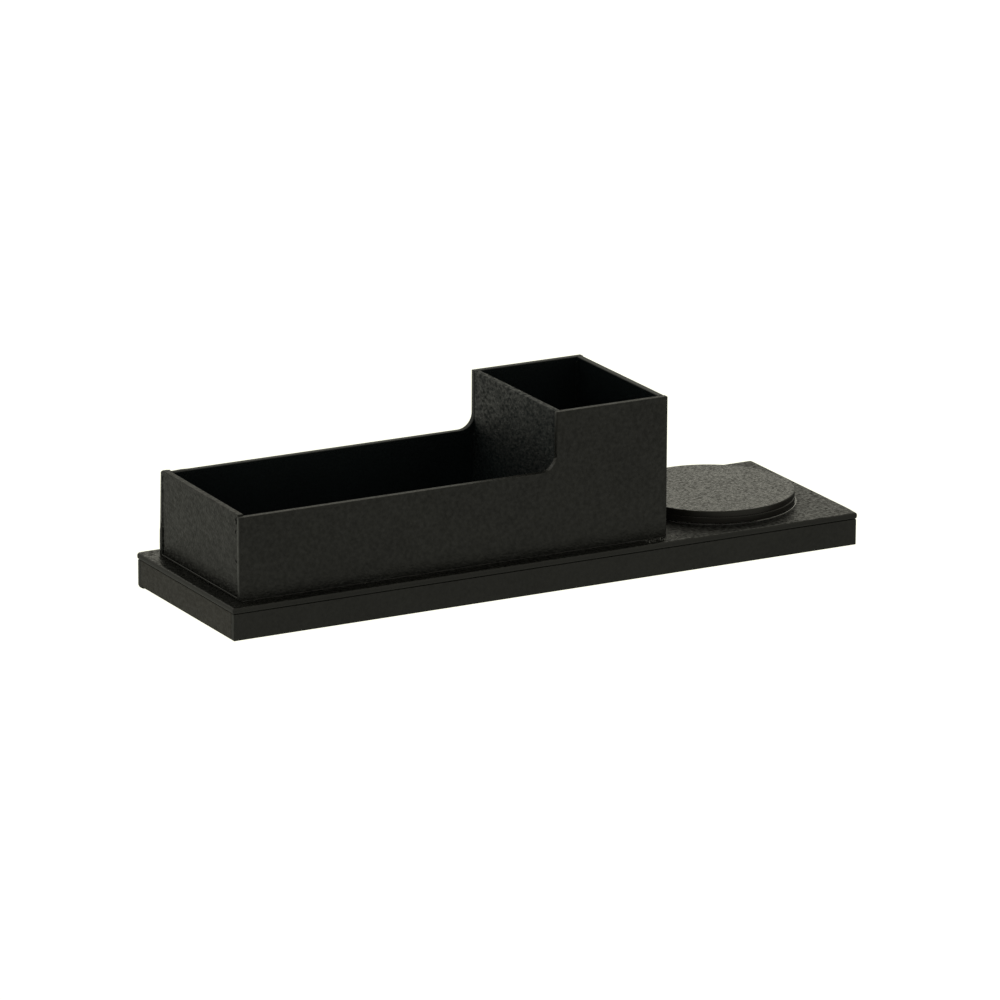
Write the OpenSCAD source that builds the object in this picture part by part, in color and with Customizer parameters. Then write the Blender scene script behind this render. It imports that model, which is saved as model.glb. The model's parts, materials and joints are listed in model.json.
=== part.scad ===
// Salon styling station: a free-standing tool holder in powder-coated sheet steel.
// A plinth carries a welded bin (a low trough and a tall cup) and a turning disc.
// +X along the length, from the trough to the disc; +Y to the back; +Z up.
// The origin is under the middle of the footprint, on the surface that the feet rest on.

/* [Base] */
// Length of the deck
base_l = 330; // [300:1:420]
// Depth of the deck, front to back
base_w = 100; // [96:1:140]
// Thickness of the deck plate
deck_t = 3; // [2:0.5:4]
// Radius of the deck's corners
deck_corner_r = 1.2; // [0.5:0.1:6]
// Height of the rails of the base frame
rail_h = 12.7; // [12.7:0.1:24]
// Thickness of the rails
rail_t = 3; // [2:0.5:5]
// How far the deck stands proud of the rails
deck_overhang = 0.5; // [0.2:0.1:3]
// Gap between the rails and the surface below
foot_gap = 1; // [0.5:0.1:3]
// Diameter of a rubber foot
foot_d = 12; // [8:1:16]

/* [Bin] */
// Length of the bin, trough and cup together
bin_l = 223; // [210:1:226]
// Depth of the bin, front to back
bin_w = 83.5; // [70:0.5:92]
// Thickness of the bin's walls
wall_t = 3; // [2:0.5:4]
// Thickness of the bin's floor panel
floor_t = 1.2; // [1:0.1:3]
// How far the end plates are set in from the ends of the long walls
plate_inset = 0.5; // [0:0.1:2]
// Gap between the deck's left edge and the bin
bin_margin = 7.5; // [3:0.5:12]
// Height of the trough's rim above the deck
trough_h = 39.7; // [30:0.1:50]
// How far the end wall's rim stands above the trough's long rims
end_rise = 1.2; // [0:0.1:3]
// Height of the cup's rim above the deck
cup_h = 68; // [64:0.5:90]
// Outer length of the cup
cup_l = 58.7; // [50:0.1:70]
// Radius of the fillet where the rim steps up to the cup
step_r = 7.5; // [2:0.5:12]

/* [Swivel] */
// Diameter of the turning disc
disc_d = 79.5; // [60:0.5:80]
// Gap from the cup to the turning disc
disc_gap = 8.4; // [3:0.1:15]
// Thickness of the turning disc
disc_t = 3; // [2:0.5:5]
// Thickness of the hub disc under it
hub_t = 3; // [2:0.5:5]
// How much larger the hub disc is in radius
hub_step = 0.1; // [0:0.1:1]
// Thickness of the slip ring
slip_t = 0.3; // [0.2:0.1:1]
// How much larger the slip ring is in radius
slip_lip = 0.9; // [0.2:0.1:2]
// Gap that the hub disc runs on
run_gap = 0.1; // [0.05:0.05:0.3]
// Diameter of the pivot stud
stud_d = 6; // [5:0.5:8]
// Clearance in radius between the stud and its bush
bush_clearance = 0.05; // [0.02:0.01:0.1]

/* [Hidden] */
$fn = 96;

// A cutter runs past the face it opens by this much
over = 1;

// Heights, from the bottom up
rail_z = foot_gap;
deck_z = rail_z + rail_h;
deck_top = deck_z + deck_t;
wall_z = deck_top + floor_t;
trough_top = deck_top + trough_h;
cup_top = deck_top + cup_h;

// Base frame
frame_l = base_l - 2 * deck_overhang;
frame_w = base_w - 2 * deck_overhang;
inner_l = frame_l - 2 * rail_t;
inner_w = frame_w - 2 * rail_t;
gusset_s = 14;
gusset_t = 2.5;
gusset_z = deck_z - gusset_t;
corner_x = (inner_l - gusset_s) / 2;
corner_y = (inner_w - gusset_s) / 2;

// Bottom cover, set up into the frame, and the M3 hardware that holds it and the deck
cover_t = 2;
cover_gap = 0.2;
cover_recess = 1;
cover_z = rail_z + cover_recess;
cover_top = cover_z + cover_t;
m3_r = 1.5;
m3_hole_r = 1.7;
m3_head_r = 2.75;
m3_cone_h = 1.4;
m3_rim_h = 0.2;
m3_screw_l = 6;
m3_key_r = 1;
m3_key_depth = 0.9;
standoff_af = 5.5;
deck_stud_l = 5;

// Feet, inboard of the cover's screws
foot_x = corner_x - 14;
foot_y = corner_y - 8;
foot_crown = 0.4;

// Bin
bin_x0 = bin_margin - base_l / 2;
bin_x1 = bin_x0 + bin_l;
cup_x0 = bin_x1 - cup_l;
bin_y = bin_w / 2;
inner_y = bin_y - wall_t;

// M4 hardware that holds the bin down: [x, y] of each screw
bin_screw_at = [
    [bin_x0 + 28, 0],
    [cup_x0 - 27, 0],
    [cup_x0 + cup_l / 2, 20],
    [cup_x0 + cup_l / 2, -20]
];
m4_r = 2;
m4_hole_r = 2.25;
m4_head_r = 3.8;
m4_head_h = 2.2;
m4_key_af = 2.5;
m4_key_depth = 1.3;
m4_nut_af = 7;
m4_nut_h = 3.2;
m4_spare = 0.8;
washer_r = 4.5;
washer_t = 0.8;

// Swivel, a little nearer the cup than the deck's right edge
disc_r = disc_d / 2;
disc_x = bin_x1 + disc_gap + disc_r;
hub_z = deck_top + slip_t + run_gap;
disc_z = hub_z + hub_t;
disc_edge = 0.3;
slip_inner_r = disc_r - 9;
stud_r = stud_d / 2;
stud_tip_chamfer = 0.6;
spigot_r = 2;
bush_r = stud_r + 2.5;
bush_flange_r = stud_r + 5;
bush_flange_t = 1.5;
bush_z = deck_z - bush_flange_t;
washer_gap = 0.2;
thrust_t = 1;
thrust_r = stud_r + 3.5;
thrust_z = bush_z - run_gap - thrust_t;
spring_h = 0.8;
spring_t = 0.5;
spring_z = thrust_z - spring_h;
nut_af = 10;
nut_h = 3.2;
nut_z = spring_z - nut_h;
stud_tip_z = nut_z - 0.4;

// Repeated shapes

// One child in each corner, mirrored to face outward
module in_corners() {
    for (mx = [0, 1], my = [0, 1])
        mirror([mx, 0, 0]) mirror([0, my, 0]) children();
}

module at_bin_screws() {
    for (p = bin_screw_at)
        translate([p[0], p[1], 0]) children();
}

module block(x0, x1, y0, y1, z0, z1) {
    translate([x0, y0, z0]) cube([x1 - x0, y1 - y0, z1 - z0]);
}

module disc(r, z0, z1) {
    translate([0, 0, z0]) cylinder(r = r, h = z1 - z0);
}

module ring(outer_r, inner_r, z0, z1) {
    difference() {
        disc(outer_r, z0, z1);
        disc(inner_r, z0 - over, z1 + over);
    }
}

// Hexagonal bar of width af across its flats
module hex_bar(af, z0, z1) {
    translate([0, 0, z0]) cylinder(d = af / cos(30), h = z1 - z0, $fn = 6);
}

module hex_nut(af, bore_r, z0, z1) {
    difference() {
        hex_bar(af, z0, z1);
        disc(bore_r, z0 - over, z1 + over);
    }
}

module rounded_plate(l, w, r, z0, z1) {
    translate([0, 0, z0]) linear_extrude(z1 - z0) union() {
        square([l - 2 * r, w], center = true);
        square([l, w - 2 * r], center = true);
        for (sx = [-1, 1], sy = [-1, 1])
            translate([sx * (l / 2 - r), sy * (w / 2 - r)]) circle(r);
    }
}

// Base frame

module long_rail(side) {
    mirror([0, side, 0])
        block(-frame_l / 2, frame_l / 2, -frame_w / 2, -frame_w / 2 + rail_t, rail_z, deck_z);
}

module cross_rail(side) {
    mirror([side, 0, 0])
        block(-frame_l / 2, -frame_l / 2 + rail_t, -inner_w / 2, inner_w / 2, rail_z, deck_z);
}

module front_rail() {
    color("dimgray") long_rail(0);
}

module rear_rail() {
    color("dimgray") long_rail(1);
}

module left_rail() {
    color("dimgray") cross_rail(0);
}

module right_rail() {
    color("dimgray") cross_rail(1);
}

// Square plates with the inboard corner cut off
module corner_gussets() {
    color("silver") in_corners() difference() {
        translate([corner_x, corner_y, gusset_z]) linear_extrude(gusset_t)
            polygon([
                [gusset_s / 2, gusset_s / 2],
                [-gusset_s / 2, gusset_s / 2],
                [-gusset_s / 2, 0],
                [0, -gusset_s / 2],
                [gusset_s / 2, -gusset_s / 2]
            ]);
        translate([corner_x, corner_y, 0]) disc(m3_hole_r, gusset_z - over, deck_z + over);
    }
}

module deck_plate() {
    color("dimgray") difference() {
        rounded_plate(base_l, base_w, deck_corner_r, deck_z, deck_top);
        at_bin_screws() disc(m4_hole_r, deck_z - over, deck_top + over);
        translate([disc_x, 0, 0]) disc(bush_r, deck_z - over, deck_top + over);
    }
}

module deck_studs() {
    color("silver") in_corners()
        translate([corner_x, corner_y, 0]) disc(m3_r, deck_z - deck_stud_l, deck_z);
}

module standoffs() {
    color("silver") in_corners()
        translate([corner_x, corner_y, 0]) hex_nut(standoff_af, m3_r, cover_top, gusset_z);
}

module bottom_cover() {
    color("gray") difference() {
        block(
            cover_gap - inner_l / 2, inner_l / 2 - cover_gap,
            cover_gap - inner_w / 2, inner_w / 2 - cover_gap,
            cover_z, cover_top
        );
        in_corners() translate([corner_x, corner_y, 0]) {
            disc(m3_r, cover_z - over, cover_top + over);
            countersink(cover_z);
        }
    }
}

// Cone of an M3 countersunk head, its flat face down at z
module countersink(z) {
    disc(m3_head_r, z, z + m3_rim_h);
    translate([0, 0, z + m3_rim_h])
        cylinder(r1 = m3_head_r, r2 = m3_r, h = m3_cone_h);
}

module cover_screws() {
    color("silver") in_corners() translate([corner_x, corner_y, 0]) difference() {
        union() {
            countersink(cover_z);
            disc(m3_r, cover_z, cover_z + m3_screw_l);
        }
        hex_bar(2 * m3_key_r, cover_z - over, cover_z + m3_key_depth);
    }
}

// Flat-bottomed pads with a small bevel round the foot
module rubber_feet() {
    color([0.1, 0.1, 0.1]) in_corners() translate([foot_x, foot_y, 0])
        rotate_extrude() polygon([
            [0, 0],
            [foot_d / 2 - foot_crown, 0],
            [foot_d / 2, foot_crown],
            [foot_d / 2, cover_z],
            [0, cover_z]
        ]);
}

// Bin

// Outline of a long wall: low over the trough, high round the cup, filleted at the step
module long_wall_outline() {
    union() {
        translate([bin_x0, deck_top]) square([bin_l, trough_h]);
        translate([cup_x0, deck_top]) square([cup_l, cup_h]);
        difference() {
            translate([cup_x0 - step_r, trough_top - over]) square([step_r + over, step_r + over]);
            translate([cup_x0 - step_r, trough_top + step_r]) circle(step_r);
        }
    }
}

module long_wall(side) {
    mirror([0, side, 0])
        translate([0, -inner_y, 0]) rotate([90, 0, 0]) linear_extrude(wall_t) long_wall_outline();
}

module bin_front_wall() {
    color("dimgray") long_wall(0);
}

module bin_rear_wall() {
    color("dimgray") long_wall(1);
}

// A plate set in between the long walls and stood on the floor panel, its left face at x
module cross_wall(x, top) {
    block(x, x + wall_t, -inner_y, inner_y, wall_z, top);
}

module bin_end_wall() {
    color("dimgray") cross_wall(bin_x0 + plate_inset, trough_top + end_rise);
}

module bin_partition() {
    color("dimgray") cross_wall(cup_x0, cup_top);
}

module cup_side_wall() {
    color("dimgray") cross_wall(bin_x1 - plate_inset - wall_t, cup_top);
}

module bin_floor() {
    color("gray") difference() {
        block(bin_x0, bin_x1, -inner_y, inner_y, deck_top, wall_z);
        at_bin_screws() disc(m4_hole_r, deck_top - over, wall_z + over);
    }
}

// Button-head screws, put in from inside the bin
module bin_screws() {
    head_z = wall_z + washer_t;
    tip_z = deck_z - washer_t - m4_nut_h - m4_spare;
    // Sphere through the head's rim and its crown
    crown_r = (m4_head_r * m4_head_r + m4_head_h * m4_head_h) / (2 * m4_head_h);
    color("silver") at_bin_screws() {
        disc(m4_r, tip_z, head_z);
        difference() {
            intersection() {
                disc(m4_head_r, head_z, head_z + m4_head_h);
                translate([0, 0, head_z + m4_head_h - crown_r]) sphere(crown_r);
            }
            hex_bar(m4_key_af, head_z + m4_head_h - m4_key_depth, head_z + m4_head_h + over);
        }
    }
}

// One washer under each head and one over each nut
module bin_washers() {
    color("silver") at_bin_screws() {
        ring(washer_r, m4_hole_r, wall_z, wall_z + washer_t);
        ring(washer_r, m4_hole_r, deck_z - washer_t, deck_z);
    }
}

module bin_nuts() {
    nut_top = deck_z - washer_t;
    color("silver") at_bin_screws() hex_nut(m4_nut_af, m4_r, nut_top - m4_nut_h, nut_top);
}

// Swivel

module slip_ring() {
    color("gainsboro") translate([disc_x, 0, 0])
        ring(disc_r + slip_lip, slip_inner_r, deck_top, deck_top + slip_t);
}

// Flanged bush, pressed into the deck from below
module pivot_bush() {
    color("goldenrod") translate([disc_x, 0, 0]) difference() {
        union() {
            disc(bush_r, bush_z, deck_top);
            disc(bush_flange_r, bush_z, deck_z);
        }
        disc(stud_r + bush_clearance, bush_z - over, deck_top + over);
    }
}

// Disc of radius r and thickness t, bevelled at its rims and open to radius inner_r
module bevelled_disc(r, inner_r, t) {
    rotate_extrude() polygon([
        [inner_r, 0],
        [r - disc_edge, 0],
        [r, disc_edge],
        [r, t - disc_edge],
        [r - disc_edge, t],
        [inner_r, t]
    ]);
}

module turn_disc() {
    color("dimgray") translate([disc_x, 0, disc_z]) bevelled_disc(disc_r, 0, disc_t);
}

module hub_disc() {
    color("gray") translate([disc_x, 0, hub_z]) bevelled_disc(disc_r + hub_step, spigot_r, hub_t);
}

// Plain shank with a spigot riveted into the hub disc
module pivot_stud() {
    color("silver") translate([disc_x, 0, 0]) {
        disc(spigot_r, hub_z - over, disc_z);
        disc(stud_r, stud_tip_z + stud_tip_chamfer, hub_z);
        translate([0, 0, stud_tip_z])
            cylinder(r1 = stud_r - stud_tip_chamfer, r2 = stud_r, h = stud_tip_chamfer);
    }
}

module thrust_washer() {
    color("goldenrod") translate([disc_x, 0, 0])
        ring(thrust_r, stud_r + washer_gap, thrust_z, thrust_z + thrust_t);
}

// Coned disc spring that takes up the end float
module spring_washer() {
    bore_r = stud_r + washer_gap;
    color("silver") translate([disc_x, 0, spring_z])
        rotate_extrude() polygon([
            [bore_r, 0],
            [thrust_r, spring_h - spring_t],
            [thrust_r, spring_h],
            [bore_r, spring_t]
        ]);
}

module lock_nut() {
    color("silver") translate([disc_x, 0, 0]) hex_nut(nut_af, stud_r, nut_z, spring_z);
}

front_rail();
rear_rail();
left_rail();
right_rail();
corner_gussets();
deck_plate();
deck_studs();
standoffs();
bottom_cover();
cover_screws();
rubber_feet();
bin_front_wall();
bin_rear_wall();
bin_end_wall();
bin_partition();
cup_side_wall();
bin_floor();
bin_screws();
bin_washers();
bin_nuts();
slip_ring();
pivot_bush();
turn_disc();
hub_disc();
pivot_stud();
thrust_washer();
spring_washer();
lock_nut();
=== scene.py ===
import json
import math
import random

import bmesh
import bpy
from mathutils import Matrix, Vector


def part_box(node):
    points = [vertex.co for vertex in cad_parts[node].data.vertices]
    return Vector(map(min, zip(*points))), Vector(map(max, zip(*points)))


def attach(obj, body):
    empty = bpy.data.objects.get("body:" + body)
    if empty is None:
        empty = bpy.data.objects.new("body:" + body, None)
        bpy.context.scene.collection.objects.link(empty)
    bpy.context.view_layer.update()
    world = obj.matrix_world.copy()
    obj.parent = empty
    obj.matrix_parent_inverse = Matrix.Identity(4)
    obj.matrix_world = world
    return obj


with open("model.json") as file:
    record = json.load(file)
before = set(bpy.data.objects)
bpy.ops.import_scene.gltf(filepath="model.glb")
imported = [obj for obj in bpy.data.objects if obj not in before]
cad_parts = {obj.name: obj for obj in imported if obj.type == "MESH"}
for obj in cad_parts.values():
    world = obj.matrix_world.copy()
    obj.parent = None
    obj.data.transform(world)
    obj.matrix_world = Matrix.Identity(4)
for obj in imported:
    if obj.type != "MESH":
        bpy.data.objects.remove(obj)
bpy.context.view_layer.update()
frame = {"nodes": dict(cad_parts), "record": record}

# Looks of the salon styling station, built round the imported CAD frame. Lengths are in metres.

MM = 0.001

nodes = frame["nodes"]


# Camera, at the photograph's viewing angle

CAMERA_AT = Vector((-1.70053, -3.10694, 1.07753))
CAMERA_YAW = math.radians(28.6886)
CAMERA_PITCH = math.radians(16.4387)
CAMERA_ROLL = math.radians(0.3003)
SENSOR_MM = 36
LENS_MM = 284.527


def make_camera():
    data = bpy.data.cameras.new("camera")
    data.sensor_width = SENSOR_MM
    data.lens = LENS_MM
    data.clip_start = 0.1
    data.clip_end = 50
    camera = bpy.data.objects.new("camera", data)
    camera.location = CAMERA_AT
    turn = Matrix.Rotation(-CAMERA_YAW, 4, "Z")
    tilt = Matrix.Rotation(math.radians(90) - CAMERA_PITCH, 4, "X")
    roll = Matrix.Rotation(CAMERA_ROLL, 4, "Z")
    camera.rotation_euler = (turn @ tilt @ roll).to_euler()
    bpy.context.scene.collection.objects.link(camera)
    bpy.context.scene.camera = camera


# Materials

class Graph:
    """A short way to write a node tree: graph.node("ShaderNodeMath", operation="ADD")."""

    def __init__(self, tree):
        self.tree = tree
        tree.nodes.clear()

    def node(self, kind, inputs=None, **settings):
        made = self.tree.nodes.new(kind)
        for name, value in settings.items():
            setattr(made, name, value)
        for name, value in (inputs or {}).items():
            if isinstance(value, bpy.types.NodeSocket):
                self.tree.links.new(value, made.inputs[name])
            else:
                made.inputs[name].default_value = value
        return made

    def maths(self, operation, a, b):
        return self.node("ShaderNodeMath", {0: a, 1: b}, operation=operation).outputs[0]

    def noise(self, where, scale, detail=2.0, roughness=0.5):
        inputs = {"Vector": where, "Scale": scale, "Detail": detail, "Roughness": roughness}
        return self.node("ShaderNodeTexNoise", inputs).outputs["Fac"]

    def spread(self, value, low, high, to_low=0.0, to_high=1.0):
        inputs = {"Value": value, "From Min": low, "From Max": high, "To Min": to_low, "To Max": to_high}
        return self.node("ShaderNodeMapRange", inputs).outputs[0]

    def colours(self, factor, low, high):
        inputs = {0: factor, 6: (*low, 1), 7: (*high, 1)}
        return self.node("ShaderNodeMix", inputs, data_type="RGBA").outputs[2]


def new_material(name):
    material = bpy.data.materials.new(name)
    material.use_nodes = True
    graph = Graph(material.node_tree)
    output = graph.node("ShaderNodeOutputMaterial")
    shader = graph.node("ShaderNodeBsdfPrincipled")
    graph.tree.links.new(shader.outputs[0], output.inputs["Surface"])
    where = graph.node("ShaderNodeTexCoord").outputs["Object"]
    return material, graph, shader, where


# How the coat's grain, orange peel and sheen are laid out: _PER_GRAIN is in noise waves to the width
# of a grain, and a _RANGE is the part of a noise's values that is spread out.
FINE_PER_GRAIN = 1.7
GLINTS_PER_GRAIN = 0.8
PATCHES_PER_GRAIN = 1.1
PEEL_SPAN = 4
PEEL = 0.3
GRAIN_ROUGHNESS = 0.55
GRAIN_RANGE = (0.3, 0.7)
BLOTCHES_PER_M = 25.0
GLINT_RANGE = (0.25, 0.75)
# PATCH_RANGE and PATCH_SHARE, with PATCHES_PER_GRAIN, lay out the painted shade at a wall's foot.
PATCH_RANGE = (0.42, 0.56)
PATCH_SHARE = 0.75
UPWARD = (0.75, 0.95)
SIDE_BUMP = 0.03
TONE_RANGE = (0.7, 1.3)
TONE_SHARES = (0.6, 1.4)
UNDERCOAT_ROUGH = (0.85, 0.7)
MARKS_PER_M = 900.0
MARK_SHADE = 0.8
MARK_SMOOTHER = 0.08
MARK_ROUGHER = 0.12


def foot_shade_patches(graph, where, per_m, weight, foot):
    """Painted shade along a wall's foot: takes sheen off in patches, most at the first height in foot and
    none at the second.
    """
    # The patches of painted shade, before they fade with height.
    thin = graph.spread(graph.noise(where, per_m * PATCHES_PER_GRAIN), *PATCH_RANGE)
    height = graph.node("ShaderNodeSeparateXYZ", {0: where}).outputs[2]
    share = graph.spread(height, *foot, PATCH_SHARE, 0.0)
    left = graph.maths("SUBTRACT", 1.0, graph.maths("MULTIPLY", thin, share))
    return graph.maths("MULTIPLY", weight, left)


def even_sides(graph, weight, side_weight):
    """An even sheen for faces that don't face up, and the bump's strength, which fades on them."""
    normal = graph.node("ShaderNodeNewGeometry").outputs["Normal"]
    upward = graph.node("ShaderNodeSeparateXYZ", {0: normal}).outputs[2]
    inputs = {0: graph.spread(upward, *UPWARD), 2: side_weight, 3: weight}
    weight = graph.node("ShaderNodeMix", inputs, data_type="FLOAT").outputs[0]
    return weight, graph.spread(upward, *UPWARD, SIDE_BUMP, 1.0)


def powder_coat(name, tone, *, grain, depth, rough, sheen, flake, side_sheen=1.0, run=1.0, foot=None):
    """Fine-textured powder coat: rounded grains packed together, each with its own gloss.

    grain and depth are in millimetres; flake is how much the sheen changes from grain to grain.
    side_sheen is the share of sheen left on turned sides, which are smooth.
    run below 1 draws the grain out along Y, as on the sheets that were sprayed from the side.
    foot is the height where patches of painted shade begin and the height where they end.
    """
    material, graph, shader, where = new_material(name)
    where = graph.node("ShaderNodeMapping", {"Vector": where, "Scale": (1, run, 1)}).outputs[0]
    per_m = 1 / (grain * MM)
    grains = graph.noise(where, per_m * FINE_PER_GRAIN, roughness=GRAIN_ROUGHNESS)
    peel = graph.noise(where, per_m / PEEL_SPAN)
    glints = graph.noise(where, per_m * GLINTS_PER_GRAIN, detail=1.0)
    blotch = graph.noise(where, BLOTCHES_PER_M, detail=3.0)
    weight = graph.spread(glints, *GLINT_RANGE, sheen * (1 - flake), sheen * (1 + flake))
    strength = 1.0
    # Painted shade towards the foot, taken off the sheen in patches.
    if foot:
        weight = foot_shade_patches(graph, where, per_m, weight, foot)
    if side_sheen < 1:
        weight, strength = even_sides(graph, weight, sheen * side_sheen)
    height = graph.maths("ADD", grains, graph.maths("MULTIPLY", peel, PEEL))
    inputs = {"Height": height, "Strength": strength, "Distance": depth * MM / FINE_PER_GRAIN}
    bump = graph.node("ShaderNodeBump", inputs).outputs[0]
    mix = graph.spread(graph.maths("ADD", grains, blotch), *TONE_RANGE)
    dark, light = [[share * c for c in tone] for share in TONE_SHARES]
    graph.tree.links.new(bump, shader.inputs["Normal"])
    graph.tree.links.new(bump, shader.inputs["Coat Normal"])
    graph.tree.links.new(graph.colours(mix, dark, light), shader.inputs["Base Color"])
    graph.tree.links.new(graph.spread(grains, *GRAIN_RANGE, *UNDERCOAT_ROUGH), shader.inputs["Roughness"])
    graph.tree.links.new(weight, shader.inputs["Coat Weight"])
    shader.inputs["Coat Roughness"].default_value = rough
    shader.inputs["Specular IOR Level"].default_value = 0.0
    return material


def plain_metal(name, colour, rough):
    """Metal with faint marks, which are darker and a little smoother than the rest."""
    material, graph, shader, where = new_material(name)
    marks = graph.noise(where, MARKS_PER_M, detail=4.0)
    roughness = graph.spread(marks, *GRAIN_RANGE, rough - MARK_SMOOTHER, rough + MARK_ROUGHER)
    graph.tree.links.new(roughness, shader.inputs["Roughness"])
    shader.inputs["Metallic"].default_value = 1.0
    darker = [MARK_SHADE * c for c in colour]
    graph.tree.links.new(graph.colours(marks, darker, colour), shader.inputs["Base Color"])
    return material


BLACK = (0.0028, 0.0029, 0.0026)
WARM_BLACK = (0.0045, 0.0042, 0.0038)
# A cool tint that paints the shade inside the trough and the cup.
SHADE_TINTED_BLACK = (0.0021, 0.003, 0.0034)
# A cool slate tint that paints the shade on the partition's lower part, inside the trough.
SHADED_SLATE_BLACK = (0.0029, 0.0041, 0.0046)
BROWN_BLACK = (0.0042, 0.0034, 0.002)
# END_FOOT is the end wall's bottom 7 mm, where END_COAT paints shade in patches.
END_FOOT = (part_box("bin_end_wall")[0][2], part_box("bin_end_wall")[0][2] + 7 * MM)

COAT = powder_coat("black_coat", BLACK, grain=1.5, depth=0.45, rough=0.28, sheen=0.27, flake=0.26)
# The coat on faces seen from inside the trough and cup: smoother, with the cool tint of painted shade.
SHADED_INNER_COAT = powder_coat(
    "black_coat_inner_painted_shade", SHADE_TINTED_BLACK, grain=1.5, depth=0.12, rough=0.28, sheen=0.26, flake=0.08)
END_COAT = powder_coat(
    "black_coat_end", BLACK, grain=1.3, depth=0.46, rough=0.3, sheen=0.275, flake=0.26,
    run=0.6, foot=END_FOOT)
LEFT_COAT = powder_coat(
    "black_coat_left", BROWN_BLACK, grain=1.3, depth=0.2, rough=0.35, sheen=0.265, flake=0.2, run=0.6)
# The partition's coat is coarser and sparklier; its slate tint is painted shade.
PARTITION_COAT = powder_coat(
    "black_coat_partition", SHADED_SLATE_BLACK, grain=1.15, depth=0.72, rough=0.42, sheen=0.29, flake=0.75, run=0.6)
DECK_COAT = powder_coat(
    "black_coat_deck", BLACK, grain=1.3, depth=0.5, rough=0.3, sheen=0.36, flake=0.7, side_sheen=0.72)
RAIL_COAT = powder_coat("black_coat_rail", BLACK, grain=1.6, depth=0.15, rough=0.35, sheen=0.27, flake=0.1)
DISC_COAT = powder_coat(
    "black_coat_disc", WARM_BLACK, grain=0.9, depth=0.45, rough=0.28, sheen=0.53, flake=0.62,
    side_sheen=0.48)
EDGE_COAT = powder_coat("coat_on_cut_edge", BLACK, grain=2.5, depth=0.1, rough=0.3, sheen=0.42, flake=0.15)
NIB_COAT = powder_coat("coat_nibs", BLACK, grain=3, depth=0.02, rough=0.18, sheen=1.0, flake=0.1)
# A near-black, matt coat that paints the shade in weld pits and gaps.
PIT_SHADE = powder_coat("weld_pit_painted_shade", (0.001, 0.001, 0.001), grain=1.0, depth=0.1, rough=0.8, sheen=0.05, flake=0.1)
ZINC = plain_metal("zinc_steel", (0.55, 0.55, 0.53), 0.35)
BLACK_STEEL = plain_metal("black_steel", (0.05, 0.05, 0.05), 0.4)
BRONZE = plain_metal("bronze", (0.5, 0.34, 0.16), 0.35)
SLIP = powder_coat("slip_nylon", (0.02, 0.02, 0.02), grain=3, depth=0.02, rough=0.2, sheen=0.8, flake=0.1)
RUBBER = powder_coat("rubber", (0.015, 0.015, 0.015), grain=0.8, depth=0.05, rough=0.7, sheen=0.3, flake=0.1)

# What the record's material slots look like, and the nodes that differ from their slot

FINISH = {
    "black_coat": COAT,
    "black_coat_disc": DISC_COAT,
    "zinc_steel": ZINC,
    "black_steel": BLACK_STEEL,
    "bronze": BRONZE,
    "slip_nylon": SLIP,
    "rubber": RUBBER,
}

OWN_FINISH = {
    "deck_plate": DECK_COAT,
    # The rear wall and the cup's side wall take the inner coat, with its painted shade.
    "bin_rear_wall": SHADED_INNER_COAT,
    "bin_floor": RAIL_COAT,
    "bottom_cover": RAIL_COAT,
    "bin_end_wall": END_COAT,
    "bin_partition": PARTITION_COAT,
    "cup_side_wall": SHADED_INNER_COAT,
    "front_rail": RAIL_COAT,
    "rear_rail": RAIL_COAT,
    "left_rail": LEFT_COAT,
    "right_rail": RAIL_COAT,
}


def finish_nodes():
    for row in frame["record"]["subparts"]:
        piece = nodes[row["node"]]
        material = OWN_FINISH.get(row["node"], FINISH[row["material_slot"]])
        for place in piece.material_slots:
            place.link = "OBJECT"
            place.material = material


# Rounded edges of the sheet metal. An edge is on the perimeter when it lies within a SKIN of its
# outer face, and AFTER_FLAT is the place in the stack just after a mesh is welded and flattened.

WALLS = ["bin_front_wall", "bin_rear_wall", "bin_end_wall", "bin_partition", "cup_side_wall", "bin_floor"]
RAILS = ["front_rail", "rear_rail", "left_rail", "right_rail"]
SHARP = math.radians(40)
FLAT = math.radians(0.5)
SAME_POINT = 0.01 * MM
EDGE_SEGMENTS = 4
AFTER_FLAT = 2
WALL_EDGE = 0.4 * MM
DECK_EDGE = 1.1 * MM
DECK_FAR_SHARE = 0.2
RAIL_TOP_EDGE = 0.6 * MM
RAIL_EDGE_SHARE = 0.5
RAIL_SKIN = 0.1 * MM
DECK_SKIN = 1.3 * MM
RAIL_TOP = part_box("front_rail")[1][2]
RAIL_REACH = (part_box("right_rail")[1][0] - RAIL_SKIN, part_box("rear_rail")[1][1] - RAIL_SKIN)
DECK_REACH = (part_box("deck_plate")[1][0] - DECK_SKIN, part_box("deck_plate")[1][1] - DECK_SKIN)


def new_geometry_tree(name):
    tree = bpy.data.node_groups.new(name, "GeometryNodeTree")
    tree.interface.new_socket("Geometry", in_out="INPUT", socket_type="NodeSocketGeometry")
    tree.interface.new_socket("Geometry", in_out="OUTPUT", socket_type="NodeSocketGeometry")
    source = tree.nodes.new("NodeGroupInput")
    sink = tree.nodes.new("NodeGroupOutput")
    return tree, source.outputs[0], sink.inputs[0]


class Field:
    """A short way to write number fields in a geometry node tree."""

    def __init__(self, tree):
        self.tree = tree

    def maths(self, operation, a, b):
        made = self.tree.nodes.new("ShaderNodeMath")
        made.operation = operation
        for place, value in zip(made.inputs, (a, b)):
            if isinstance(value, bpy.types.NodeSocket):
                self.tree.links.new(value, place)
            else:
                place.default_value = value
        return made.outputs[0]

    def over(self, value, limit):
        return self.maths("GREATER_THAN", value, limit)


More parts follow.
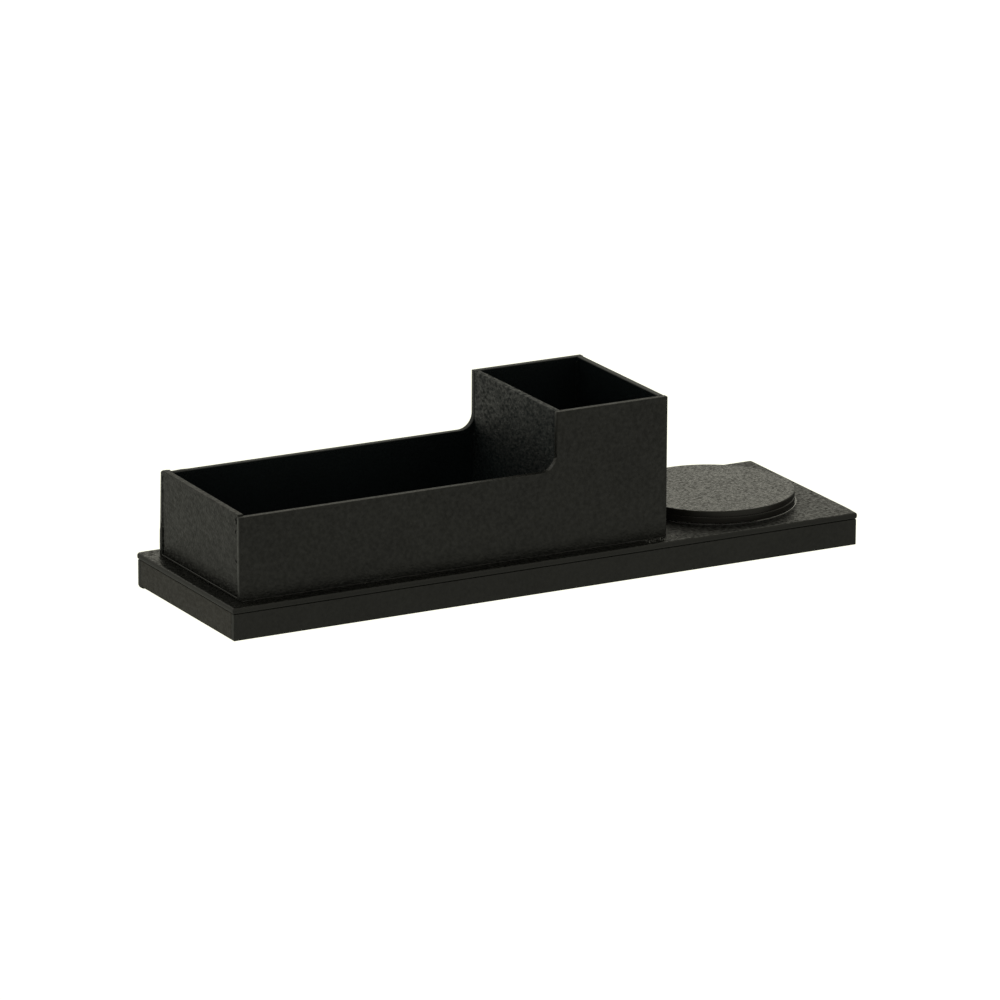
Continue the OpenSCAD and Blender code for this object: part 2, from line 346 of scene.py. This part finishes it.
def smooth_shading():
    """Smooth faces, with the edges left sharp by the bevel kept sharp."""
    tree, source, sink = new_geometry_tree("smooth_shading")
    angle = tree.nodes.new("GeometryNodeInputMeshEdgeAngle").outputs[0]
    smooth = tree.nodes.new("GeometryNodeSetShadeSmooth")
    tree.links.new(source, smooth.inputs["Geometry"])
    sharp = tree.nodes.new("GeometryNodeSetShadeSmooth")
    sharp.domain = "EDGE"
    tree.links.new(smooth.outputs[0], sharp.inputs["Geometry"])
    tree.links.new(Field(tree).over(angle, SHARP), sharp.inputs["Selection"])
    sharp.inputs["Shade Smooth"].default_value = False
    tree.links.new(sharp.outputs[0], sink)
    return tree


def perimeter_weights(name, reach, from_z, share, far_share=1.0):
    """Bevel weights for sharp edges: full ones outside reach and above from_z, and share elsewhere.

    far_share is the weight of the rear and right edges of the perimeter.
    """
    tree, source, sink = new_geometry_tree(name)
    field = Field(tree)
    angle = tree.nodes.new("GeometryNodeInputMeshEdgeAngle").outputs[0]
    place = tree.nodes.new("ShaderNodeSeparateXYZ")
    tree.links.new(tree.nodes.new("GeometryNodeInputPosition").outputs[0], place.inputs[0])
    left = field.maths("LESS_THAN", place.outputs[0], -reach[0])
    front = field.maths("LESS_THAN", place.outputs[1], -reach[1])
    near = field.maths("MAXIMUM", left, front)
    right = field.over(place.outputs[0], reach[0])
    rear = field.over(place.outputs[1], reach[1])
    far = field.maths("MAXIMUM", right, rear)
    outer = field.maths("MAXIMUM", near, field.maths("MULTIPLY", far, far_share))
    full = field.maths("MULTIPLY", outer, field.over(place.outputs[2], from_z))
    weight = field.maths("MULTIPLY", field.maths("MAXIMUM", full, share), field.over(angle, SHARP))
    store = tree.nodes.new("GeometryNodeStoreNamedAttribute")
    store.data_type = "FLOAT"
    store.domain = "EDGE"
    store.inputs["Name"].default_value = "bevel_weight_edge"
    tree.links.new(source, store.inputs["Geometry"])
    tree.links.new(weight, store.inputs["Value"])
    tree.links.new(store.outputs[0], sink)
    return tree


def round_edges(piece, radius, shading, weights=None):
    """Bevels a piece's sharp edges; weights is a node tree that sets how much each edge gets."""
    weld = piece.modifiers.new("weld", "WELD")
    weld.merge_threshold = SAME_POINT
    flat = piece.modifiers.new("flat", "DECIMATE")
    flat.decimate_type = "DISSOLVE"
    flat.angle_limit = FLAT
    bevel = piece.modifiers.new("bevel", "BEVEL")
    bevel.limit_method = "ANGLE"
    bevel.angle_limit = SHARP
    bevel.width = radius
    bevel.segments = EDGE_SEGMENTS
    bevel.use_clamp_overlap = False
    bevel.loop_slide = False
    if weights:
        edges = piece.modifiers.new("weights", "NODES")
        edges.node_group = weights
        piece.modifiers.move(len(piece.modifiers) - 1, AFTER_FLAT)
        bevel.limit_method = "WEIGHT"
    shade = piece.modifiers.new("shade", "NODES")
    shade.node_group = shading
    normals = piece.modifiers.new("normals", "WEIGHTED_NORMAL")
    normals.keep_sharp = True


def round_sheets():
    shading = smooth_shading()
    rail_weights = perimeter_weights("rail_edges", RAIL_REACH, RAIL_TOP - RAIL_SKIN, RAIL_EDGE_SHARE)
    deck_weights = perimeter_weights("deck_edges", DECK_REACH, 0.0, 0.0, DECK_FAR_SHARE)
    for name in WALLS:
        round_edges(nodes[name], WALL_EDGE, shading)
    for name in RAILS:
        round_edges(nodes[name], RAIL_TOP_EDGE, shading, rail_weights)
    round_edges(nodes["deck_plate"], DECK_EDGE, shading, deck_weights)
    round_edges(nodes["bottom_cover"], WALL_EDGE, shading)


# Sheets that aren't quite square

REAR_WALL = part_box("bin_rear_wall")
END_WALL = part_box("bin_end_wall")
TROUGH_H = 39.7 * MM
TROUGH_TOP = REAR_WALL[0][2] + TROUGH_H
LEAN_TOP = 1.2 * MM
LEAN_FOOT = 0.4 * MM
END_BAND = 0.5 * MM
TILT = 0.6 * MM
RIM_BAND = 1 * MM


def shift_corners(name, piece, axis, choose):
    """Moves a sheet's corners along an axis before its edges are rounded.

    choose(field, place) gives the number field to move them by; place is their X, Y and Z.
    """
    tree, source, sink = new_geometry_tree(name)
    place = tree.nodes.new("ShaderNodeSeparateXYZ")
    tree.links.new(tree.nodes.new("GeometryNodeInputPosition").outputs[0], place.inputs[0])
    shift = tree.nodes.new("ShaderNodeCombineXYZ")
    tree.links.new(choose(Field(tree), place.outputs), shift.inputs[axis])
    move = tree.nodes.new("GeometryNodeSetPosition")
    tree.links.new(source, move.inputs["Geometry"])
    tree.links.new(shift.outputs[0], move.inputs["Offset"])
    tree.links.new(move.outputs[0], sink)
    piece.modifiers.new(name, "NODES").node_group = tree
    piece.modifiers.move(len(piece.modifiers) - 1, AFTER_FLAT)


def lean_cut_end():
    """The rear wall's cut end leans in towards its top corner."""
    foot = REAR_WALL[0][2]
    slope = (LEAN_TOP - LEAN_FOOT) / (TROUGH_TOP - foot)

    def lean(field, place):
        at_end = field.maths("LESS_THAN", place[0], REAR_WALL[0][0] + END_BAND)
        rise = field.maths("MULTIPLY", field.maths("SUBTRACT", place[2], foot), slope)
        return field.maths("MULTIPLY", field.maths("ADD", rise, LEAN_FOOT), at_end)

    shift_corners("leaning_cut_end", nodes["bin_rear_wall"], 0, lean)


def tilt_end_rim():
    """The end wall's rim runs down a little from the rear to the front."""
    below_rim = END_WALL[1][2] - RIM_BAND

    def tilt(field, place):
        slope = field.maths("MULTIPLY", place[1], TILT / END_WALL[1][1])
        return field.maths("MULTIPLY", slope, field.over(place[2], below_rim))

    shift_corners("tilted_rim", nodes["bin_end_wall"], 2, tilt)


# Weld beads, lumps and nibs in the coat

BEAD_STEP = 0.45 * MM
BEAD_SIDES = 10
LUMP_WAVES = 4
LUMP_SWELL = 0.05
UP = Vector((0, 0, 1))
SIDEWAYS = Vector((0, 1, 0))


class Heap:
    """Closed shapes gathered into one mesh."""

    def __init__(self):
        self.verts = []
        self.faces = []

    def take(self, verts, faces):
        first = len(self.verts)
        self.verts += verts
        self.faces += [tuple(first + v for v in face) for face in faces]

    def bead(self, path, length, low, high, seed, sway=0.0, squash=(1, 1, 1)):
        """An uneven bead along path(0..1).

        low and high bound its radius, sway is how far it wanders, and squash flattens it along X, Y or Z.
        """
        dice = random.Random(seed)
        count = max(6, int(length / BEAD_STEP))
        drift = Vector((0, 0, 0))
        verts = []
        for i, radius in enumerate(bead_radii(count, low, high, seed)):
            at = i / (count - 1)
            along = (path(min(at + 0.01, 1)) - path(max(at - 0.01, 0))).normalized()
            side = UP.cross(along) if abs(along.z) < 0.9 else SIDEWAYS.cross(along)
            side.normalize()
            other = along.cross(side)
            drift = drift * 0.8 + (side * dice.uniform(-1, 1) + other * dice.uniform(-1, 1)) * sway
            for k in range(BEAD_SIDES):
                turn = 2 * math.pi * k / BEAD_SIDES
                offset = (side * math.cos(turn) + other * math.sin(turn)) * radius
                verts.append(path(at) + drift + offset * Vector(squash))
        self.take(verts, tube_faces(count))

    def straight_bead(self, start, end, *size, **shape):
        """A bead from start to end; size is its low and high radius and its seed."""
        start, end = Vector(start), Vector(end)
        self.bead(lambda at: start.lerp(end, at), (end - start).length, *size, **shape)

    def lump(self, centre, size, seed):
        """A rounded, slightly uneven blob; size is its three half-widths."""
        dice = random.Random(seed)
        shape = bmesh.new()
        bmesh.ops.create_icosphere(shape, subdivisions=2, radius=1.0)
        shape.verts.index_update()
        waves = [Vector([dice.uniform(-2, 2) for _ in range(3)]) for _ in range(LUMP_WAVES)]
        verts = []
        for vert in shape.verts:
            swell = 1 + sum(LUMP_SWELL * math.sin(3 * vert.co.dot(wave)) for wave in waves)
            verts.append(vert.co * swell * Vector(size) + Vector(centre))
        faces = [tuple(v.index for v in face.verts) for face in shape.faces]
        shape.free()
        self.take(verts, faces)

    def place(self, name, material):
        """Puts the heap on the base as one piece."""
        mesh = bpy.data.meshes.new(name)
        mesh.from_pydata(self.verts, [], self.faces)
        mesh.polygons.foreach_set("use_smooth", [True] * len(self.faces))
        mesh.materials.append(material)
        piece = bpy.data.objects.new(name, mesh)
        bpy.context.scene.collection.objects.link(piece)
        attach(piece, "base")


def bead_radii(count, low, high, seed):
    """Radii that swell and shrink along a weld, softened so that neighbours run together."""
    dice = random.Random(seed)
    rough = [dice.uniform(low, high) for _ in range(count)]
    soft = [(rough[max(i - 1, 0)] + rough[i] + rough[min(i + 1, count - 1)]) / 3 for i in range(count)]
    soft[0] = soft[-1] = low / 4
    return soft


def tube_faces(count):
    """Faces of a closed tube of count rings."""
    faces = [tuple(range(BEAD_SIDES))[::-1]]
    for i in range(count - 1):
        for k in range(BEAD_SIDES):
            a = i * BEAD_SIDES + k
            b = i * BEAD_SIDES + (k + 1) % BEAD_SIDES
            faces.append((a, b, b + BEAD_SIDES, a + BEAD_SIDES))
    faces.append(tuple(range((count - 1) * BEAD_SIDES, count * BEAD_SIDES)))
    return faces


FRONT_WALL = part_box("bin_front_wall")
FLOOR_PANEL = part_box("bin_floor")
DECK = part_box("deck_plate")
SEAM_X = END_WALL[0][0]
SEAM_LOW = FLOOR_PANEL[1][2]
STEP_R = 7.5 * MM
WIDE_PIT_SHARE = 0.35
SMALL_PITS = 9
END_COAT_SQUASH = (0.15, 1, 1)
STEP_COAT_SQUASH = (0.05, 1, 1)


def add_front_seam():
    """The weld between the end wall and the front wall's cut end, with two blobs near its top."""
    y = END_WALL[0][1]
    foot = (SEAM_X, y, SEAM_LOW + 0.4 * MM)
    head = (SEAM_X, y, TROUGH_TOP - 0.5 * MM)
    weld = Heap()
    weld.straight_bead(foot, head, 0.18 * MM, 0.4 * MM, seed=3)
    weld.lump((SEAM_X, y + 0.7 * MM, TROUGH_TOP - 8.1 * MM), (0.35 * MM, 0.6 * MM, 0.9 * MM), seed=7)
    weld.lump((SEAM_X, y + 0.9 * MM, TROUGH_TOP - 5.2 * MM), (0.3 * MM, 0.4 * MM, 0.6 * MM), seed=8)
    weld.place("front_seam", EDGE_COAT)


def add_pit_shade():
    """Painted shade beside the two welds: dark, matt, ragged blobs that stand in for the shade in the pits
    and in the gap along the rear seam.
    """
    x = SEAM_X + 0.1 * MM
    y = END_WALL[1][1]
    foot = Vector((x, y - 0.9 * MM, SEAM_LOW))
    head = Vector((x, y - 0.7 * MM, TROUGH_TOP - 0.5 * MM))
    middle = foot.lerp(head, WIDE_PIT_SHARE)
    pits = Heap()
    pits.straight_bead(foot, middle, 0.25 * MM, 0.6 * MM, seed=5, sway=0.1 * MM)
    pits.straight_bead(middle, head, 0.12 * MM, 0.38 * MM, seed=6, sway=0.08 * MM)
    y = END_WALL[0][1]
    top = (SEAM_X - 0.15 * MM, y + 0.3 * MM, TROUGH_TOP - 2.6 * MM)
    pits.lump(top, (0.3 * MM, 0.5 * MM, 1.5 * MM), seed=9)
    dice = random.Random(17)
    for index in range(SMALL_PITS):
        z = TROUGH_TOP - (2 + 22 * dice.random() ** 2) * MM
        size = dice.uniform(0.12, 0.3) * MM
        across = y + dice.uniform(0.4, 2.2) * MM
        pits.lump((SEAM_X - 0.05 * MM, across, z), (0.1 * MM, size, size * 3), seed=40 + index)
    pits.place("seam_pits_painted_shade", PIT_SHADE)


def add_cut_ends():
    """A thin, slightly crowned layer of coat on the long walls' cut ends, at the trough and at the step."""
    low_z = DECK[1][2]
    high_z = TROUGH_TOP - 0.3 * MM
    coat = Heap()
    x = FRONT_WALL[0][0]
    y = (FRONT_WALL[0][1] + END_WALL[0][1]) / 2
    foot = (x, y, low_z)
    head = (x, y, high_z)
    coat.straight_bead(foot, head, 1.25 * MM, 1.35 * MM, seed=4, squash=END_COAT_SQUASH)
    rear_y = (REAR_WALL[1][1] + END_WALL[1][1]) / 2
    foot = (x + LEAN_FOOT, rear_y, low_z)
    head = (x + LEAN_TOP, rear_y, high_z)
    coat.straight_bead(foot, head, 1.1 * MM, 1.3 * MM, seed=14, squash=END_COAT_SQUASH)
    swell = (x + LEAN_FOOT + 0.25 * MM, rear_y, low_z + 7 * MM)
    coat.lump(swell, (0.65 * MM, 1.3 * MM, 9 * MM), seed=15)
    step_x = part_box("bin_partition")[0][0]
    for side_y in (y, rear_y):
        foot = (step_x, side_y, TROUGH_TOP + STEP_R)
        head = (step_x, side_y, FRONT_WALL[1][2] - 0.3 * MM)
        coat.straight_bead(foot, head, 1.1 * MM, 1.15 * MM, seed=16, squash=STEP_COAT_SQUASH)
    coat.place("cut_end_coat", EDGE_COAT)


def add_corner_lump():
    """The weld stands proud of the rim at the trough's rear left corner and runs out along it."""
    x = REAR_WALL[0][0] + LEAN_TOP
    y = REAR_WALL[1][1] - 1.5 * MM
    z = TROUGH_TOP
    lump = Heap()
    lump.lump((x + 1.2 * MM, y, z + 0.1 * MM), (1.6 * MM, 1.45 * MM, 1.0 * MM), seed=11)
    lump.lump((x + 2.6 * MM, y - 0.6 * MM, z + 0.3 * MM), (1.7 * MM, 1.3 * MM, 1.0 * MM), seed=10)
    lump.lump((x + 9 * MM, y, z - 0.3 * MM), (9 * MM, 1.45 * MM, 0.65 * MM), seed=13)
    lump.place("corner_lump", EDGE_COAT)


def inner_corners(name, low, high):
    """The X of each face of a cross wall that has welds at its two ends."""
    if name == "bin_partition":
        return [low[0], high[0]]
    return [high[0]] if name == "bin_end_wall" else [low[0]]


def add_inner_welds():
    """Small fillets of weld in the inner corners of the trough and the cup."""
    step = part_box("bin_partition")[0][0]
    welds = Heap()
    for row, name in enumerate(("bin_end_wall", "bin_partition", "cup_side_wall")):
        low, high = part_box(name)
        for x in inner_corners(name, low, high):
            top = min(high[2], TROUGH_TOP) if x <= step else high[2]
            for y in (low[1], high[1]):
                foot = (x, y, SEAM_LOW)
                head = (x, y, top - 2 * MM)
                welds.straight_bead(foot, head, 0.3 * MM, 0.6 * MM, seed=row + int(y / MM))
    # The inner welds take the inner coat, with its painted shade.
    welds.place("inner_welds", SHADED_INNER_COAT)


def add_foot_beads():
    """The coat gathers in an uneven line along the foot of the long walls."""
    beads = Heap()
    for y in (FRONT_WALL[0][1], REAR_WALL[1][1]):
        start = (FRONT_WALL[0][0] + 0.5 * MM, y, DECK[1][2])
        end = (FRONT_WALL[1][0] - 0.3 * MM, y, DECK[1][2])
        beads.straight_bead(start, end, 0.1 * MM, 0.4 * MM, seed=21)
    beads.place("foot_beads", COAT)


FOOT_NIBS = 220
PATCH_NIBS = 85
NIB_SQUASH = 0.8
BIG_NIB = 0.5 * MM


def add_nibs():
    """Glossy nibs in the coat: along the front foot, and a patch by the cup's front corner."""
    dice = random.Random(12)
    wall_y = FRONT_WALL[0][1]
    y = wall_y - 0.5 * MM
    z = DECK[1][2]
    nibs = Heap()
    for index in range(FOOT_NIBS):
        x = dice.uniform(FRONT_WALL[0][0], FRONT_WALL[1][0])
        radius = dice.uniform(0.08, 0.22) * MM
        if index % 2:
            centre = (x, y - dice.uniform(0, 0.8) * MM, z)
        else:
            centre = (x, wall_y, z + dice.uniform(0, 3.5) * MM)
        nibs.lump(centre, (radius, radius, radius * NIB_SQUASH), seed=index)
    for index in range(PATCH_NIBS):
        x = FRONT_WALL[1][0] + dice.uniform(-13, 3.5) * MM
        radius = dice.uniform(0.16, 0.34) * MM
        centre = (x, y - dice.uniform(0, 4.5) * MM, z)
        nibs.lump(centre, (radius, radius, radius * NIB_SQUASH), seed=300 + index)
    nibs.lump((FRONT_WALL[1][0] - 4.3 * MM, y - 1.0 * MM, z), (BIG_NIB, BIG_NIB, BIG_NIB), seed=132)
    nibs.place("coat_nibs", NIB_COAT)


# The slip lip's two ends, as directions in degrees from +X.
LIP_FROM = -88
LIP_TO = -8


def add_slip_lip():
    """The slip ring's rim stands out a little from under the disc, from the front round to the right."""
    low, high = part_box("slip_ring")
    centre = Vector(((low[0] + high[0]) / 2, (low[1] + high[1]) / 2, high[2]))
    reach = (high[0] - low[0]) / 2 - 0.3 * MM

    def path(at):
        turn = math.radians(LIP_FROM + (LIP_TO - LIP_FROM) * at)
        return centre + Vector((math.cos(turn), math.sin(turn), 0)) * reach

    lip = Heap()
    lip.bead(path, reach * math.radians(LIP_TO - LIP_FROM), 0.2 * MM, 0.36 * MM, seed=33)
    lip.place("slip_lip", NIB_COAT)


def add_rail_foot():
    """The coat has run and set in a drop under the frame's rear left corner."""
    low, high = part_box("rear_rail")
    foot = Heap()
    centre = (low[0] + 0.5 * MM, high[1] - 3.2 * MM, low[2] + 0.05 * MM)
    foot.lump(centre, (0.9 * MM, 3.2 * MM, 0.8 * MM), seed=31)
    foot.place("rail_foot", RAIL_COAT)


def add_details():
    lean_cut_end()
    tilt_end_rim()
    add_front_seam()
    # Painted shade in the weld pits and along the rear seam.
    add_pit_shade()
    add_cut_ends()
    add_corner_lump()
    add_inner_welds()
    add_foot_beads()
    add_nibs()
    add_slip_lip()
    add_rail_foot()


# Studio

SKY_TINT = (1.0, 0.98, 0.84, 1)
SKY_STRENGTH = 1.4
FLOOR_TINT = (1.0, 1.0, 0.86, 1)
FLOOR_STRENGTH = 1.2
FLOOR_HALF = 6.0
FLOOR_Z = -0.1 * MM
SOFTBOX_AT = (-1.0, 1.6, 1.6)
SOFTBOX_SIZE = 0.8
SOFTBOX_WATTS = 6


def make_sky():
    """White to the camera; slightly warm to everything that lights or reflects the object."""
    world = bpy.data.worlds.new("studio")
    bpy.context.scene.world = world
    world.use_nodes = True
    graph = Graph(world.node_tree)
    lit = graph.node("ShaderNodeBackground", {"Color": SKY_TINT, "Strength": SKY_STRENGTH})
    white = graph.node("ShaderNodeBackground", {"Color": (1, 1, 1, 1), "Strength": 1.0})
    seen = graph.node("ShaderNodeLightPath").outputs["Is Camera Ray"]
    both = graph.node("ShaderNodeMixShader", {0: seen, 1: lit.outputs[0], 2: white.outputs[0]})
    output = graph.node("ShaderNodeOutputWorld")
    graph.tree.links.new(both.outputs[0], output.inputs["Surface"])


def make_floor():
    """A pale floor that glows softly, and is clear when seen from below."""
    material = bpy.data.materials.new("floor")
    material.use_nodes = True
    graph = Graph(material.node_tree)
    glow = graph.node("ShaderNodeEmission", {"Color": FLOOR_TINT, "Strength": FLOOR_STRENGTH})
    clear = graph.node("ShaderNodeBsdfTransparent")
    behind = graph.node("ShaderNodeNewGeometry").outputs["Backfacing"]
    both = graph.node("ShaderNodeMixShader", {0: behind, 1: glow.outputs[0], 2: clear.outputs[0]})
    output = graph.node("ShaderNodeOutputMaterial")
    graph.tree.links.new(both.outputs[0], output.inputs["Surface"])
    mesh = bpy.data.meshes.new("floor")
    half = FLOOR_HALF
    corners = [(-half, -half), (half, -half), (half, half), (-half, half)]
    mesh.from_pydata([(*corner, FLOOR_Z) for corner in corners], [], [(0, 1, 2, 3)])
    mesh.materials.append(material)
    floor = bpy.data.objects.new("floor", mesh)
    bpy.context.scene.collection.objects.link(floor)


def make_softbox():
    """A square light behind the object on the left, aimed at it."""
    data = bpy.data.lights.new("softbox", "AREA")
    data.shape = "SQUARE"
    data.size = SOFTBOX_SIZE
    data.energy = SOFTBOX_WATTS
    softbox = bpy.data.objects.new("softbox", data)
    softbox.location = SOFTBOX_AT
    softbox.rotation_euler = (-softbox.location).to_track_quat("-Z", "Y").to_euler()
    bpy.context.scene.collection.objects.link(softbox)


def make_studio():
    make_sky()
    make_floor()
    make_softbox()


make_camera()
make_studio()
finish_nodes()
round_sheets()
add_details()
bpy.context.scene.view_settings.view_transform = "Standard"
